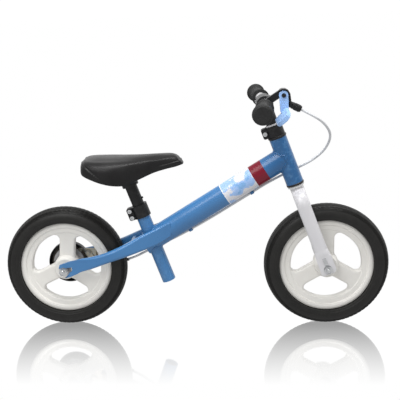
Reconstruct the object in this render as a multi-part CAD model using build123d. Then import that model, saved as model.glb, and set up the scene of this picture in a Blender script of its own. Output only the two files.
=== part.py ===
"""Balance bike with 10 inch wheels and a rear band brake, one STEP file per separate piece.

Frame: +X forwards, +Y to the rider's left, +Z up, millimetres.  The origin is on the ground,
midway between the two hubs.
"""
from build123d import *
from math import cos, hypot, pi, radians, sin, tan
import os

os.makedirs("parts", exist_ok=True)

# ---------------------------------------------------------------- driving dimensions
wheelbase = 550.0
wheel_r = 130.0                 # 10 inch tyre on an ETRTO 152 rim
rear_x = -wheelbase / 2
front_x = wheelbase / 2
hub_z = wheel_r
head_angle = 69.5               # steering axis above the horizontal; it passes through the front hub
seat_angle = 70.2               # seat tube axis above the horizontal
seat_foot_x = -69.0             # where the seat tube's axis is level with the hubs
fit_gap = 0.05                  # radial clearance of a running fit
end_play = 0.1                  # gap between a bearing and its spacer

# tyre and rim
tyre_half_w = 24.5
tyre_mid_r = 108.0
rim_edge_r = 98.0
rim_well_r = 90.0
rim_step_r = 86.0
rim_inner_r = 74.0
spoke_w = 33.0
spoke_half_t = 9.5
rear_spoke_phase = 86.0
front_spoke_phase = 90.0

# hubs and axles
axle_r = 5.0
axle_half = 56.0
bearing_r = 13.0
bearing_w = 8.0
spacer_r = 8.0
hub_boss_r = 26.0
dropout_in = 40.0               # inner face of every axle plate, from the middle plane
dropout_t = 4.5
dropout_out = dropout_in + dropout_t
washer_t = 1.5
nut_h = 7.0
nut_af = 15.0

# frame tubes
main_h = 46.3
main_w = 38.0
tube_wall = 1.8
main_pitch = 31.6               # the main tube climbs forwards at this angle
main_level = 198.7              # height of its axis where the seat tube's axis is level with the hubs
head_r = 18.0
head_bore_r = 16.0
head_bottom = 187.0             # lengths along the steering axis count up from the front hub
head_top = 287.0
seat_tube_r = 14.3
seat_bore_r = 12.75
seat_foot_bore_r = 12.2         # the lower end is left as drawn, below the reamed length
seat_ream_bottom = 5.0
seat_tube_bottom = -36.0        # lengths along the seat tube count up from hub level
seat_tube_top = 137.0

# fork and steering
steerer_r = 14.3
steerer_bore_r = 12.75
steerer_bottom = 168.0
steerer_top = 318.0
blade_y = 37.0
blade_half_w = 14.0
blade_half_t = 8.5
stem_r = 12.7
stem_bottom = 205.0
bar_level = 363.0               # bar centre along the steering axis
bar_r = 11.1
bar_half = 192.0
bar_bend = 48.0                 # the bar sweeps back outside this half-width
bar_sweep = 4.5
bar_rise = 0.6

# saddle
post_r = 12.7
post_bottom = 15.0
post_top = 194.0

# cable
housing_r = 2.5
wire_r = 0.8

# ---------------------------------------------------------------- frames of reference


def axis_plane(x, angle):
    """A frame whose z runs up an axis that leans back from the vertical, and whose x is forwards."""
    a = radians(angle)
    return Plane(origin=(x, 0, hub_z), x_dir=(sin(a), 0, cos(a)), z_dir=(-cos(a), 0, sin(a)))


steer = axis_plane(front_x, head_angle).location
seat = axis_plane(seat_foot_x, seat_angle).location
pitch = radians(main_pitch)
main_dir = Vector(cos(pitch), 0, sin(pitch))
main_plane = Plane(origin=(seat_foot_x, 0, main_level), x_dir=(0, 1, 0), z_dir=tuple(main_dir))
main = main_plane.location
rear_hub = Pos(rear_x, 0, hub_z)
front_hub = Pos(front_x, 0, hub_z)


def bar_place(y):
    """A frame on the handlebar's axis at half-width y, its z along the bar towards that end."""
    side = 1 if y > 0 else -1
    out = abs(y) - bar_bend
    x = -out * tan(radians(bar_sweep)) if out > 0 else 0
    z = out * tan(radians(bar_rise)) if out > 0 else 0
    lean = radians(bar_sweep)
    centre = steer * Pos(0, 0, bar_level)
    origin = (centre.position.X + x, y, centre.position.Z + z)
    direction = (-sin(lean), side * cos(lean), sin(radians(bar_rise)))
    return Plane(origin=origin, x_dir=(0, 0, 1), z_dir=direction).location


# ---------------------------------------------------------------- small builders


def rod(r, z0, z1):
    return Pos(0, 0, z0) * Cylinder(r, z1 - z0, align=(Align.CENTER, Align.CENTER, Align.MIN))


def tube(r_out, r_in, z0, z1):
    return rod(r_out, z0, z1) - rod(r_in, z0 - 1, z1 + 1)


def cross_rod(r, y0, y1):
    """A round bar along Y."""
    return Pos(0, y1, 0) * Rot(90, 0, 0) * rod(r, 0, y1 - y0)


def cross_tube(r_out, r_in, y0, y1):
    return cross_rod(r_out, y0, y1) - cross_rod(r_in, y0 - 1, y1 + 1)


def turned_y(points):
    """A ring turned about Y from its section, given as (radius, y) points."""
    return revolve(make_face(Polyline(*points, close=True)), Axis.Y)


def turned_z(points):
    """A ring turned about Z from its section, given as (radius, z) points."""
    section = make_face(Polyline(*[(r, 0, z) for r, z in points], close=True))
    return revolve(section, Axis.Z)


def side_plate(points, y0, y1):
    """A flat plate seen from the side: an XZ outline, from y0 to y1."""
    face = make_face(Polyline(*[(x, 0, z) for x, z in points], close=True))
    return Pos(0, y1, 0) * extrude(face, y1 - y0, dir=(0, -1, 0))


def box_between(low, high):
    size = [b - a for a, b in zip(low, high)]
    return Pos(*low) * Box(*size, align=(Align.MIN, Align.MIN, Align.MIN))


def hex_nut(af, height, bore=0.0):
    body = extrude(RegularPolygon(af / 2, 6, major_radius=False), height)
    crown = Pos(0, 0, height / 2) * Sphere(hypot(af / 2 / cos(radians(30)), height / 2) * 0.985)
    body = body & crown
    return body - rod(bore, -1, height + 1) if bore else body


def across(shape, y, side):
    """Puts a shape that was built along z at half-width y, pointing outwards on that side."""
    return Pos(0, side * y, 0) * Rot(-90 * side, 0, 0) * shape


def bolt_y(r, head_r, head_h, y_head, y_tip):
    """A cap screw along Y, its head outside y_head."""
    out = 1 if y_head > y_tip else -1
    low, high = sorted((y_head, y_tip))
    head = cross_rod(head_r, *sorted((y_head, y_head + out * head_h)))
    socket = cross_rod(head_r * 0.5, *sorted((y_head + out * head_h * 0.4, y_head + out * (head_h + 1))))
    return cross_rod(r, low, high) + (head - socket)


def mirrored(shape):
    return mirror(shape, about=Plane.XZ)


def save(shape, name):
    export_step(shape, f"parts/{name}.step")


def group(*shapes):
    return Compound(children=list(shapes))


# ---------------------------------------------------------------- wheels


def opening(turn):
    """One opening between two spokes, as a sketch in the wheel's plane."""
    reach = 2 * rim_inner_r
    half = spoke_w / 2
    near = half / sin(radians(60))
    side = [(near + reach * cos(radians(s * 60)), reach * sin(radians(s * 60))) for s in (-1, 1)]
    wedge = make_face(Polyline((near, 0), side[0], side[1], close=True))
    shape = wedge & Circle(rim_inner_r)
    inner = shape.vertices().sort_by(Axis.X)[0]
    shape = fillet(inner, 34)
    corners = shape.vertices().sort_by(lambda v: -hypot(v.X, v.Y))[:2]
    return Rot(0, 0, turn) * fillet(corners, 11)


def rim(phase, boss_right, boss_left):
    """Moulded three-spoke wheel: rim, spokes and hub in one piece, with a bore for the bearings."""
    ring = turned_y([
        (rim_well_r, -9.5), (rim_edge_r - 1, -11.5), (rim_edge_r, -13), (rim_edge_r - 1, -14.5),
        (rim_edge_r - 4, -15.5), (rim_step_r + 4, -15.5), (rim_step_r + 1, -14.2), (rim_step_r, -12.2),
        (rim_step_r - 1, -11.4), (rim_inner_r + 3, -11), (rim_inner_r + 1, -10), (rim_inner_r, -7.5),
        (rim_inner_r, 7.5), (rim_inner_r + 1, 10), (rim_inner_r + 3, 11), (rim_step_r - 1, 11.4),
        (rim_step_r, 12.2), (rim_step_r + 1, 14.2), (rim_step_r + 4, 15.5), (rim_edge_r - 4, 15.5),
        (rim_edge_r - 1, 14.5), (rim_edge_r, 13), (rim_edge_r - 1, 11.5), (rim_well_r, 9.5),
    ])
    web = Circle(rim_inner_r + 1.5)
    for k in range(3):
        web -= opening(phase + 60 + 120 * k)
    plate = extrude(web, spoke_half_t, both=True)
    inner_edges = [e for e in plate.edges() if abs(abs(e.center().Z) - spoke_half_t) < 0.01
                   and hypot(e.center().X, e.center().Y) < rim_inner_r + 0.3
                   and abs(e.bounding_box().size.Z) < 0.01]
    plate = fillet(inner_edges, 4.5)
    spokes = Rot(90, 0, 0) * plate
    boss = turned_y([
        (0, -boss_right), (hub_boss_r - 5, -boss_right), (hub_boss_r - 3, -boss_right + 2),
        (hub_boss_r, -spoke_half_t + 1), (hub_boss_r, spoke_half_t - 1),
        (hub_boss_r - 2, boss_left - 1), (hub_boss_r - 3, boss_left), (0, boss_left),
    ])
    wheel = ring + spokes + boss
    wheel -= cross_rod(9.5, -boss_right - 1, boss_left + 1)
    wheel -= cross_rod(bearing_r, -boss_right - 1, -boss_right + bearing_w + 0.5)
    wheel -= cross_rod(bearing_r, boss_left - bearing_w - 0.5, boss_left + 1)
    return wheel


def tyre():
    """Airless tyre: a round crown on a narrower foot that fills the rim's well."""
    crown = Pos(tyre_mid_r, 0) * Ellipse(wheel_r - tyre_mid_r, tyre_half_w)
    low = Pos(rim_edge_r - 20, 0) * Rectangle(40, 60)
    foot = make_face(Polyline((rim_well_r, -9.4), (rim_edge_r + 1, -11.6), (rim_edge_r + 4, -18),
                              (rim_edge_r + 4, 18), (rim_edge_r + 1, 11.6), (rim_well_r, 9.4), close=True))
    section = (crown - low) + foot
    return revolve(section, Axis.Y)


def bearing(y0):
    body = cross_tube(bearing_r, axle_r + fit_gap, y0, y0 + bearing_w)
    for y in (y0, y0 + bearing_w):
        body -= cross_tube(11, 7, y - 0.4, y + 0.4)
    return body


def axle():
    body = cross_rod(axle_r, -axle_half, axle_half)
    return chamfer(body.edges().filter_by(GeomType.CIRCLE), 0.8)


def axle_nuts():
    nut = hex_nut(nut_af, nut_h, axle_r)
    y = dropout_out + washer_t
    return [across(nut, y, side) for side in (-1, 1)]


rear_boss_right = 27.0
rear_boss_left = 20.0
front_boss = 27.0

save(rear_hub * rim(rear_spoke_phase, rear_boss_right, rear_boss_left), "rear_rim")
save(front_hub * rim(front_spoke_phase, front_boss, front_boss), "front_rim")
save(rear_hub * tyre(), "rear_tyre")
save(front_hub * tyre(), "front_tyre")
save(group(rear_hub * bearing(-rear_boss_right), rear_hub * bearing(rear_boss_left - bearing_w)),
     "rear_hub_bearings")
save(group(front_hub * bearing(-front_boss), front_hub * bearing(front_boss - bearing_w)),
     "front_hub_bearings")
save(rear_hub * axle(), "rear_axle")
save(front_hub * axle(), "front_axle")
save(group(*[rear_hub * nut for nut in axle_nuts()]), "rear_axle_nuts")
save(group(*[front_hub * nut for nut in axle_nuts()]), "front_axle_nuts")

# washers under the nuts; the front ones carry a tab that hooks into the fork blade's hole
washer_r = 9.0
tab_hole = 22.6
washers = [cross_tube(washer_r, axle_r, *sorted((s * dropout_out, s * (dropout_out + washer_t))))
           for s in (-1, 1)]
save(group(*[rear_hub * w for w in washers]), "rear_axle_washers")


def tab_washer(side):
    """A washer with an arm up the fork blade and a tab bent into the blade's hole."""
    arm = box_between((-4, 0, axle_r + 2), (4, washer_t, tab_hole + 3))
    tab = box_between((-2.2, -2.5, tab_hole - 1.8), (2.2, 0, tab_hole + 1.8))
    shape = Pos(0, dropout_out, 0) * (arm + tab)
    shape += cross_rod(washer_r, dropout_out, dropout_out + washer_t)
    shape -= cross_rod(axle_r, dropout_out - 1, dropout_out + washer_t + 1)
    shape = shape if side > 0 else mirrored(shape)
    return steer * shape


save(group(tab_washer(-1), tab_washer(1)), "front_tab_washers")

# spacers between the bearings and the axle plates
cover_plate_y = 35.5
cover_t = 1.5
spacers = [cross_tube(spacer_r, axle_r, -dropout_in, -rear_boss_right - end_play),
           cross_tube(spacer_r, axle_r, rear_boss_left + end_play, 33.0),
           cross_tube(spacer_r, axle_r, cover_plate_y + cover_t, dropout_in)]
save(group(*[rear_hub * s for s in spacers]), "rear_axle_spacers")
spacers = [cross_tube(spacer_r, axle_r, *sorted((s * (front_boss + end_play), s * dropout_in)))
           for s in (-1, 1)]
save(group(*[front_hub * s for s in spacers]), "front_axle_spacers")

# ---------------------------------------------------------------- frame tubes

head_post = steer * rod(head_r, head_bottom - 40, head_top + 40)
seat_post_space = seat * rod(seat_tube_r, seat_tube_bottom - 40, seat_tube_top + 60)
save(steer * tube(head_r, head_bore_r, head_bottom, head_top), "head_tube")


def oval(r_long, r_wide, z0, z1):
    return main * Pos(0, 0, z0) * extrude(Ellipse(r_wide, r_long), z1 - z0)


main_outer = oval(main_h / 2, main_w / 2, -60, 330)
behind_seat = seat * box_between((-120, -60, -100), (-seat_tube_r - 1.7, 60, 260))
behind_cap = seat * box_between((-120, -60, -100), (-seat_tube_r + 0.8, 60, 260))
main_outer -= behind_seat
ahead = steer * box_between((0, -60, 100), (200, 60, 400))
main_hollow = oval(main_h / 2 - tube_wall, main_w / 2 - tube_wall, -60, 330) - behind_cap
main_tube = (main_outer - ahead - head_post) - main_hollow - seat_post_space
main_tube = main_tube.solids().sort_by(SortBy.VOLUME)[-1]
save(main_tube, "main_tube")

clamp_slit = seat * box_between((-30, -1.5, seat_tube_top - 20), (0, 1.5, seat_tube_top + 1))
seat_bore = rod(seat_bore_r, seat_ream_bottom, seat_tube_top + 1)
seat_bore += rod(seat_foot_bore_r, seat_tube_bottom - 1, seat_ream_bottom)
save(seat * (rod(seat_tube_r, seat_tube_bottom, seat_tube_top) - seat_bore) - clamp_slit, "seat_tube")

# stays: (distance ahead of the hub, middle height, height, thickness, half-width of its middle)
stay_sections = [
    (30, 140.3, 30.0, dropout_t, dropout_in + dropout_t / 2),
    (45, 144.6, 27.5, 8, 42.3),
    (62, 148.6, 25.5, 12, 42.6),
    (90, 157.4, 23.5, 15.5, 41.2),
    (122, 168.5, 26.5, 16.5, 37.0),
    (150, 179.6, 31.5, 14.5, 31.5),
    (178, 190.5, 35, 12, 26.0),
    (205, 201.5, 35, 9, 20.5),
    (226, 211.5, 28, 5, 16.5),
]


def stay():
    """The left chain stay: a tube squeezed flat at the axle and oval where it meets the main tube."""
    faces = []
    for ahead_of_hub, z, height, thick, y in stay_sections:
        plane = Plane(origin=(rear_x + ahead_of_hub, y, z), x_dir=(0, 1, 0), z_dir=(1, 0, 0))
        corner = 0.42 * min(height, thick) if thick > 6 else 0.6
        faces.append(plane.location * RectangleRounded(thick, height, corner))
    shape = loft(faces)
    plate = rear_hub * side_plate(
        [(-10, 6.2), (-8, 14), (10, 20.2), (30.5, 25.3), (30.5, -4.7), (16, -11), (-1, -15.5), (-2.5, -12.5),
         (18, 1), (18, 9)], dropout_in, dropout_out)
    slot = rear_hub * side_plate([(19, 4.5), (16, 7.2), (-30, 5.1), (-30, -40), (3.5, -13.5)],
                                 dropout_in - 1, dropout_out + 1)
    shape = shape + plate - slot
    shape -= oval(main_h / 2, main_w / 2, -40, 330)
    shape -= seat_post_space
    return shape.solids().sort_by(SortBy.VOLUME)[-1]


left_stay = stay()
save(left_stay, "left_stay")
save(mirrored(left_stay), "right_stay")

bridge_x = rear_x + 146
bridge_z = 181.0
bridge = Pos(bridge_x, 0, bridge_z) * cross_tube(7, 5.5, -40, 40) - left_stay - mirrored(left_stay)
save(bridge.solids().sort_by(lambda s: abs(s.center().Y))[0], "stay_bridge")

# ---------------------------------------------------------------- headset

lower_cup = turned_z([(steerer_r + 1.2, head_bottom - 4), (head_r + 0.6, head_bottom - 4),
                      (head_r + 0.6, head_bottom - 0.8), (head_r - 0.2, head_bottom), (head_bore_r, head_bottom),
                      (head_bore_r, head_bottom + 10), (steerer_r + 1.2, head_bottom + 10)])
save(steer * lower_cup, "lower_headset_cup")
save(steer * tube(steerer_r + 1.2, steerer_r + fit_gap, head_bottom - 3.5, head_bottom + 9), "lower_headset_bush")
upper_cup = turned_z([(steerer_r + 1.2, head_top - 10), (head_bore_r, head_top - 10), (head_bore_r, head_top),
                      (head_r, head_top), (head_r + 1.4, head_top + 2), (head_r + 1.4, head_top + 4),
                      (head_r - 0.5, head_top + 5.5), (steerer_r + 1.2, head_top + 5.5)])
save(steer * upper_cup, "upper_headset_cup")
save(steer * tube(steerer_r + 1.2, steerer_r + fit_gap, head_top - 9, head_top + 5.4), "upper_headset_bush")

# ---------------------------------------------------------------- seat clamp


def split_clamp(bore, r, z0, z1, ear):
    """A clamp band with a slit at the back and two ears for its pinch bolts."""
    body = rod(r, z0, z1)
    ears = box_between((-r - ear, -7.5, z0), (-r + 5, 7.5, z1))
    ears = fillet(ears.edges().filter_by(Axis.Y).group_by(Axis.X)[0], 4)
    body = body + ears
    body -= box_between((-r - ear - 1, -1.5, z0 - 1), (0, 1.5, z1 + 1))
    return body - rod(bore, z0 - 1, z1 + 1)


seat_clamp_low = 113.5
seat_clamp_high = 140.5
seat_clamp_r = 17.6
seat_ear = 10.5
bolt_back = -seat_clamp_r - 3.8
seat_bolt_levels = (119.5, 134.5)
pinch_r = 2.5
seat_clamp = split_clamp(seat_tube_r, seat_clamp_r, seat_clamp_low, seat_clamp_high, seat_ear)
lip = tube(seat_tube_r + 1, post_r + 0.15, seat_tube_top + 0.1, seat_clamp_high)
seat_clamp += lip - box_between((-30, -1.5, 100), (0, 1.5, 160))
for level in seat_bolt_levels:
    seat_clamp -= Pos(bolt_back, 0, level) * cross_rod(pinch_r, -20, 20)
save(seat * seat_clamp, "seat_clamp")


def pinch_bolt():
    """A cap screw through the ears, with a domed nut on the left."""
    nut = hex_nut(8, 4.5, pinch_r)
    screw = bolt_y(pinch_r, 4.4, 4.6, -7.5, 12.5)
    return screw, across(nut, 7.5, 1)


pieces = []
for level in seat_bolt_levels:
    pieces += [seat * Pos(bolt_back, 0, level) * p for p in pinch_bolt()]
save(group(*pieces), "seat_clamp_bolts")

# ---------------------------------------------------------------- fork

save(steer * tube(steerer_r, steerer_bore_r, steerer_bottom, steerer_top), "fork_steerer")
race = turned_z([(steerer_r, head_bottom - 8.5), (head_r - 0.6, head_bottom - 8.5),
                 (head_r - 0.6, head_bottom - 5.6), (steerer_r + 2, head_bottom - 4.4),
                 (steerer_r, head_bottom - 4.4)])
save(steer * race, "crown_race")

blade_arch = 169.5
blade_shoulder = 160.0
blade_foot = 42.0
plate_top = 26.0
plate_bottom = -10.5
plate_half_w = 16.0


def blade():
    """The left fork blade: an oval tube bent out from the crown and squeezed flat at the axle."""
    path = FilletPolyline((0, 0, blade_arch), (0, blade_y, blade_shoulder), (0, blade_y, blade_foot), radius=24)
    section = Plane(origin=path @ 0, x_dir=(1, 0, 0), z_dir=tuple(path % 0))
    leg = sweep(section.location * Ellipse(blade_half_w, blade_half_t), path=path)
    leg -= box_between((-40, -40, 0), (40, 0, 260))
    mid_y = dropout_in + dropout_t / 2
    foot = Plane(origin=(0, blade_y, blade_foot), x_dir=(1, 0, 0), z_dir=(0, 0, -1))
    mid = Plane(origin=(0, (blade_y + mid_y) / 2 + 0.6, (blade_foot + plate_top) / 2), x_dir=(1, 0, 0),
                z_dir=(0, 0, -1))
    flat = Plane(origin=(0, mid_y, plate_top), x_dir=(1, 0, 0), z_dir=(0, 0, -1))
    squeeze = loft([foot.location * Ellipse(blade_half_w, blade_half_t),
                    mid.location * Ellipse(blade_half_w + 1.2, 5.4),
                    flat.location * Ellipse(plate_half_w - 0.4, dropout_t / 2)])
    plate = side_plate([(-plate_half_w, plate_top + 1.5), (plate_half_w, plate_top + 1.5),
                        (plate_half_w, plate_bottom + 5), (plate_half_w - 6, plate_bottom),
                        (-plate_half_w + 2, plate_bottom), (-plate_half_w, plate_bottom + 2)],
                       dropout_in, dropout_out)
    shape = leg + squeeze + plate
    shape -= rod(steerer_r, 100, 400)
    shape -= rod(head_r + 2, head_bottom - 8.5, 400)
    shape -= cross_rod(axle_r, 0, 60)
    shape -= Pos(0, 0, -20) * box_between((-axle_r, 0, 0), (axle_r, 60, 20))
    shape -= Pos(0, 0, tab_hole) * box_between((-2.2, 0, -1.8), (2.2, 60, 1.8))
    return shape.solids().sort_by(SortBy.VOLUME)[-1]


left_blade = blade()
save(steer * left_blade, "left_fork_blade")
save(steer * mirrored(left_blade), "right_fork_blade")

# clamp collar that closes the slotted steerer on the stem
collar_low = 293.0
collar_high = 315.0
collar_r = 18.0
collar_ear = 9.0
collar_bolt_back = -collar_r - 3.4
collar_bolt_level = 304.0
collar = split_clamp(steerer_r, collar_r, collar_low, collar_high, collar_ear)
collar -= Pos(collar_bolt_back, 0, collar_bolt_level) * cross_rod(pinch_r, -20, 20)
save(steer * collar, "steerer_clamp")
save(group(*[steer * Pos(collar_bolt_back, 0, collar_bolt_level) * p for p in pinch_bolt()]),
     "steerer_clamp_bolt")

# ---------------------------------------------------------------- stem, handlebar and grips

stem_head_r = 17.0
stem_head_half = 26.0
bar_axis = steer * Pos(0, 0, bar_level)
stem = rod(stem_r, stem_bottom, bar_level) + Pos(0, 0, bar_level) * cross_rod(stem_head_r, -stem_head_half,
                                                                            stem_head_half)
stem += turned_z([(0, bar_level - 24), (stem_r, bar_level - 24), (stem_head_r - 0.5, bar_level - 6),
                  (stem_head_r - 0.5, bar_level), (0, bar_level)])
stem -= rod(stem_r - 2, stem_bottom - 1, bar_level - 20)
stem -= Pos(0, 0, bar_level) * cross_rod(bar_r, -50, 50)
stem_screw_spots = [(x, y) for x in (-13.6, 13.6) for y in (-17, 17)]
screw_r = 2.0
for x, y in stem_screw_spots:
    stem -= Pos(x, y, 0) * rod(screw_r, bar_level - 9, bar_level + 30)
    stem -= Pos(x, y, 0) * rod(3.6, bar_level + 6, bar_level + 30)
save(steer * stem, "handlebar_stem")


def stem_screw(x, y):
    top = bar_level + 6
    screw = rod(screw_r, bar_level - 8.5, top) + rod(3.3, top, top + 3.6) - rod(1.6, top + 1.6, top + 5)
    return steer * Pos(x, y, 0) * screw


save(group(*[stem_screw(x, y) for x, y in stem_screw_spots]), "stem_screws")


def bar():
    """The swept handlebar: a straight middle with one bend each side."""
    ends = [bar_place(side * bar_half).position for side in (-1, 1)]
    bends = [bar_place(side * bar_bend).position for side in (-1, 1)]
    path = FilletPolyline(ends[0], bends[0], bends[1], ends[1], radius=120)
    plane = Plane(origin=path @ 0, z_dir=tuple(path % 0))
    outer = sweep(plane.location * Circle(bar_r), path=path)
    inner = sweep(plane.location * Circle(bar_r - 1.6), path=path)
    return outer - inner


save(bar(), "handlebar")

grip_in = 94.0
grip_len = 102.0
grip_r = 14.5
grip_end_r = 19.6


def grip(side):
    """A rubber grip with shallow ribs, an inner flange and a broad round safety end."""
    outline = [(bar_r + 0.02, 0), (17.5, 0), (18.3, 0.9), (18.3, 2.6), (17.3, 3.6), (grip_r + 0.4, 5)]
    z = 9.0
    while z < grip_len - 20:
        outline += [(grip_r, z), (grip_r, z + 1.6), (grip_r - 0.7, z + 2.2), (grip_r - 0.7, z + 3.4)]
        z += 4.0
    outline += [(grip_r, grip_len - 17), (grip_end_r - 3, grip_len - 12.5), (grip_end_r, grip_len - 9.5),
                (grip_end_r, grip_len - 5), (grip_end_r - 2, grip_len - 1.6), (grip_end_r - 5, grip_len),
                (0, grip_len), (0, grip_len - 3.5), (bar_r + 0.02, grip_len - 3.5)]
    return bar_place(side * grip_in) * turned_z(outline)


save(grip(-1), "right_grip")
save(grip(1), "left_grip")

# ---------------------------------------------------------------- brake lever on the right

pivot = (181.0, 494.5)          # X and Z of the lever's pivot
clamp_y = -79.0
perch_y = (-79.6, -71.0)
lever_y = (-90.0, -80.0)
rim_y = (-91.0, -71.0)
pivot_pin_r = 2.5
adjuster_start = (194.2, 476.2)
adjuster_dir = (0.895, -0.445)
adjuster_y = -80.8
bar_at_clamp = bar_place(clamp_y).position
adjuster = Plane(origin=(adjuster_start[0], adjuster_y, adjuster_start[1]),
                 z_dir=(adjuster_dir[0], 0, adjuster_dir[1])).location


def at_pivot(shape):
    return Pos(pivot[0], 0, pivot[1]) * shape


def perch():
    """The lever's housing: a bar clamp, an arm up to the pivot and a hood down in front of the lever."""
    ring = bar_place(clamp_y) * rod(15.5, -7.5, 7.5)
    bx = bar_at_clamp.X
    bz = bar_at_clamp.Z
    arm = side_plate([(bx - 3, bz + 13), (bx + 6, bz + 19.5), (pivot[0] - 5, pivot[1] + 11.2),
                      (pivot[0] + 4, pivot[1] + 11.8), (pivot[0] + 10, pivot[1] + 6.5),
                      (pivot[0] + 6, pivot[1] - 7), (pivot[0] - 7, pivot[1] - 6),
                      (bx + 14, bz + 8.5), (bx + 4, bz + 6)], *perch_y)
    hood_outer = side_plate([(pivot[0] - 8, pivot[1] + 10.4), (pivot[0] - 4, pivot[1] + 12.6),
                             (pivot[0] + 3, pivot[1] + 12.8), (pivot[0] + 9, pivot[1] + 9.4),
                             (pivot[0] + 12.4, pivot[1] + 3.4), (pivot[0] + 14, pivot[1] - 8),
                             (pivot[0] + 15, pivot[1] - 22), (pivot[0] + 12.6, pivot[1] - 23.4),
                             (pivot[0] + 11.4, pivot[1] - 22), (pivot[0] + 10.8, pivot[1] - 8),
                             (pivot[0] + 9.8, pivot[1] + 2), (pivot[0] + 7.4, pivot[1] + 7),
                             (pivot[0] + 2.4, pivot[1] + 10.2), (pivot[0] - 3.4, pivot[1] + 10.2),
                             (pivot[0] - 7.6, pivot[1] + 8.2)], *rim_y)
    web = side_plate([(pivot[0] + 2, pivot[1] + 11), (pivot[0] + 12.4, pivot[1] + 2),
                      (pivot[0] + 14.6, pivot[1] - 22), (pivot[0] + 8, pivot[1] - 22),
                      (pivot[0] + 4, pivot[1] - 6)], perch_y[0], perch_y[0] + 4.5)
    boss = adjuster * rod(6.2, -5, 3)
    body = ring + arm + hood_outer + web + boss
    body -= at_pivot(cross_rod(pivot_pin_r, -100, -60))
    body -= adjuster * rod(2.65, -10, 12)
    screw_spot = bar_place(clamp_y) * Pos(-13.5, 0, 0)
    lug = screw_spot * box_between((-6, -6, -5.5), (3, 6, 5.5))
    body += lug
    body -= bar_place(clamp_y) * rod(bar_r + 0.02, -20, 20)
    body -= bar_place(clamp_y) * box_between((-30, -0.8, -10), (0, 0.8, 10))
    body -= bar_place(clamp_y) * Pos(-15.5, 0, 0) * Rot(90, 0, 0) * (rod(1.65, -8, 8) + rod(3.1, 6, 14))
    body -= at_pivot(cross_rod(10.0, lever_y[0] - 2, perch_y[0]))
    body -= at_pivot(box_between((-14, lever_y[0] - 2, -50), (10.3, perch_y[0], 0)))
    return body.solids().sort_by(SortBy.VOLUME)[-1]


save(perch(), "brake_perch")
screw = bar_place(clamp_y) * Pos(-15.5, 0, 0) * Rot(90, 0, 0) * (rod(1.6, -6, 6) + rod(2.9, 6, 8.6)
                                                               - rod(1.2, 7.4, 9))
save(screw, "perch_screw")

pin = at_pivot(cross_rod(pivot_pin_r, lever_y[0] - 0.2, perch_y[1] + 0.4)
               + cross_rod(4.2, lever_y[0] - 1.7, lever_y[0] - 0.2)
               + cross_rod(4.2, perch_y[1], perch_y[1] + 1.6))
save(pin, "lever_pivot_pin")

barrel = rod(2.6, -2.2, 4) + rod(6.6, 3.4, 7.2)
for k in range(12):
    barrel -= Rot(0, 0, 30 * k) * Pos(7.0, 0, 0) * rod(0.9, 3, 7.5)
knob = turned_z([(0, 7.8), (6.4, 7.8), (7.2, 8.8), (7.2, 19.2), (5.6, 22.6), (0, 22.6)])
for k in range(14):
    knob -= Rot(0, 0, 360 / 14 * k) * Pos(7.6, 0, 0) * rod(0.8, 8, 19)
adjuster_body = barrel + knob + rod(3.2, 7, 8) - rod(housing_r + 0.25, 17.6, 30) - rod(1.0, -20, 30)
save(adjuster * adjuster_body, "cable_adjuster")


def lever():
    """Two-finger lever: a flat arm down from the pivot and a blade curled back under the grip."""
    px, pz = pivot
    arm = side_plate([(px - 8.2, pz + 3.5), (px - 8.4, pz - 6), (px - 7, pz - 22), (px - 6.4, pz - 31),
                      (px - 1, pz - 38), (px + 6, pz - 34), (px + 9.2, pz - 26), (px + 9.4, pz - 14),
                      (px + 9.0, pz)], *lever_y)
    arm += at_pivot(cross_rod(9.0, *lever_y))
    blade_end = -150.0
    blade = side_plate([(px + 9.2, pz - 26), (px + 8.2, pz - 33), (px + 3, pz - 41), (px - 5, pz - 47.5),
                        (px - 11, pz - 52.5), (px - 15.5, pz - 51), (px - 16, pz - 46.5),
                        (px - 11, pz - 41), (px - 4.6, pz - 34.6), (px + 0.6, pz - 29.4),
                        (px + 3.4, pz - 25)], blade_end, lever_y[1])
    trim = Pos(px - 4, blade_end, pz - 40) * box_between((-40, -30, -30), (40, 14, 40))
    round_end = Pos(px - 3, blade_end + 14, pz - 38) * Rot(0, -50, 0) * Cylinder(17, 40, rotation=(0, 0, 0))
    blade = (blade - trim) + (blade & round_end & trim)
    shape = arm + blade
    shape -= at_pivot(cross_rod(pivot_pin_r + fit_gap, -200, 0))
    shape -= Pos(px + 4.5, 0, pz - 17) * cross_rod(3.0, lever_y[0] + 4, lever_y[1] + 1)
    return shape.solids().sort_by(SortBy.VOLUME)[-1]


save(lever(), "brake_lever")
save(Pos(pivot[0] + 4.5, 0, pivot[1] - 17) * cross_rod(2.8, lever_y[0] + 4.2, lever_y[1] - 0.4), "cable_nipple")

# ---------------------------------------------------------------- rear band brake

drum_r = 34.0
drum_in = 20.0
drum_out = 31.0
drum = cross_tube(drum_r, drum_r - 3.5, drum_in, drum_out) + cross_rod(drum_r, drum_in, drum_in + 2.5)
drum -= cross_rod(spacer_r + 1.5, drum_in - 1, drum_out + 1)
save(rear_hub * drum, "brake_drum")

band_gap = 0.6
band = cross_tube(drum_r + band_gap + 2.5, drum_r + band_gap, drum_in + 2.5, drum_out - 1.8)
band -= Rot(0, -48, 0) * box_between((0, 0, -5), (60, 60, 5))
save(rear_hub * band, "brake_band")

cover_r = 44.5
cover_in = 22.0
cover = cross_rod(cover_r, cover_in, cover_plate_y + cover_t)
cover = fillet(cover.edges().filter_by(GeomType.CIRCLE).sort_by(Axis.Y)[-1], 3)
cover -= cross_rod(cover_r - 1.6, cover_in - 1, cover_plate_y)
cover -= cross_rod(axle_r, 0, 60)
arm_window = box_between((20, 10, -16), (60, cover_plate_y, 29))
cover -= arm_window
save(rear_hub * cover, "brake_cover")

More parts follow.
